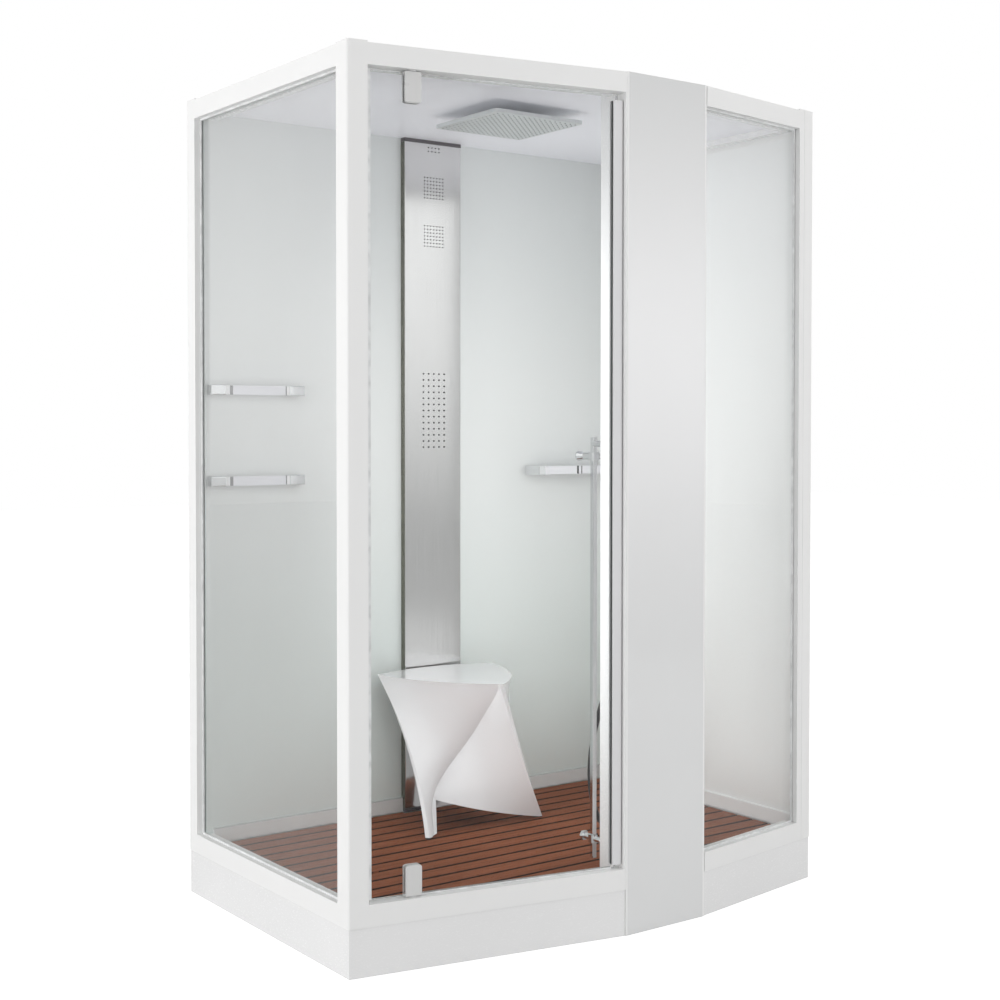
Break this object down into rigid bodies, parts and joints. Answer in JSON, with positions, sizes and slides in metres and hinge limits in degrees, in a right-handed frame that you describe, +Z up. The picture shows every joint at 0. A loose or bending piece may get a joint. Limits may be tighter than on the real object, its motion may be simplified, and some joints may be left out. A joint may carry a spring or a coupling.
{
  "type": "shower cabin",
  "caption": "Closed shower cabin with a tray, framed glass, a pivot door, a front column, a steel jet column, a rain head, a teak deck and a stool.",
  "frame": {"origin": "middle of the cabin's bounding box on the floor", "axes": "+X to the right and +Y to the rear as seen from the door side, +Z up"},
  "size_m": [1.46, 1, 2.15],
  "materials": {
    "white_frame": "gloss",
    "white_acrylic": "gloss",
    "clear_glass": "clear",
    "panel_glass": "back-painted gloss",
    "wall_panel": "gloss",
    "ceiling": "gloss",
    "teak": "oiled",
    "chrome": "polished",
    "steel": "mirror polished",
    "galvanised": "zinc",
    "rubber": "matt",
    "nozzle": "matt",
    "clear_seal": "translucent",
    "dark_trim": "satin",
    "white_plastic": "gloss",
    "grey_plastic": "satin",
    "brass": "turned"
  },
  "bodies": {
    "cabin": {"shower_tray": "white_acrylic", "tray_support_frame": "galvanised", "levelling_feet": "galvanised", "drain_trap": "white_plastic", "drain_flange": "chrome", "front_left_post": "white_frame", "front_right_post": "white_frame", "rear_posts": "white_frame", "left_top_rail": "white_frame", "left_bottom_rail": "white_frame", "door_header": "white_frame", "door_sill": "white_frame", "right_front_header": "white_frame", "right_front_bottom_rail": "white_frame", "wall_top_rails": "white_frame", "wall_bottom_rails": "white_frame", "left_glass": "clear_glass", "right_front_glass": "clear_glass", "pane_seals": "clear_seal", "hinge_bushes": "white_plastic", "strike_profile": "white_frame", "column_front_panel": "panel_glass", "column_edge_trims": "white_frame", "column_housing": "white_plastic", "mixer_body": "chrome", "rear_wall_panels": "wall_panel", "right_wall_panel": "wall_panel", "wall_trims": "white_plastic", "ceiling_panel": "ceiling", "ceiling_cornice": "white_plastic", "steel_column": "steel", "steel_column_trims": "dark_trim", "body_jets": "nozzle", "rain_head": "chrome", "rain_head_arm": "chrome", "supply_pipes": "brass", "towel_bar_ends": "chrome", "towel_bar_grips": "white_plastic", "shelf_ends": "chrome", "bottle_shelf": "white_plastic", "hand_shower_rail": "chrome", "rail_brackets": "chrome", "shower_hose": "rubber", "hose_elbow": "chrome"},
    "door": {"door_glass": "clear_glass", "door_hinge_blocks": "white_frame", "door_hinge_pins": "steel", "door_handle_profile": "white_frame", "door_seals": "clear_seal"},
    "deck": {"deck_boards": "teak", "deck_bearers": "teak", "deck_pads": "rubber"},
    "stool": {"stool_shell": "white_acrylic", "stool_foot_pads": "rubber"},
    "drain_lid": {"drain_cover": "chrome"},
    "hand_shower": {"rail_slider": "chrome", "handset": "chrome"},
    "slider_lock": {"slider_knob": "chrome"},
    "temperature_control": {"temperature_knob": "chrome"},
    "diverter_control": {"diverter_knob": "chrome"}
  },
  "joints": [
    {"name": "door_pivot", "type": "hinge", "parent": "cabin", "child": "door", "pos_m": [-0.56248, -0.36839, 1.13], "axis": [0, 0, -1], "range_deg": [0, 90]},
    {"name": "deck_lift", "type": "slide", "parent": "cabin", "child": "deck", "axis": [0, 0, 1], "range_m": [0, 0.02]},
    {"name": "stool_lift", "type": "slide", "parent": "deck", "child": "stool", "axis": [0, 0, 1], "range_m": [0, 0.3]},
    {"name": "drain_cover_lift", "type": "slide", "parent": "cabin", "child": "drain_lid", "axis": [0, 0, 1], "range_m": [0, 0.03]},
    {"name": "hand_shower_slide", "type": "slide", "parent": "cabin", "child": "hand_shower", "axis": [0, 0, 1], "range_m": [-0.7, 0], "deforming": ["shower_hose"]},
    {"name": "slider_lock_turn", "type": "hinge", "parent": "hand_shower", "child": "slider_lock", "pos_m": [-0.004, -0.3535, 1.196], "axis": [0, 1, 0], "range_deg": [0, 180]},
    {"name": "temperature_turn", "type": "hinge", "parent": "cabin", "child": "temperature_control", "pos_m": [0.15, -0.38, 1.085], "axis": [0, 1, 0], "range_deg": [-90, 90]},
    {"name": "diverter_turn", "type": "hinge", "parent": "cabin", "child": "diverter_control", "pos_m": [0.15, -0.38, 1.215], "axis": [0, 1, 0], "range_deg": [0, 120]}
  ]
}
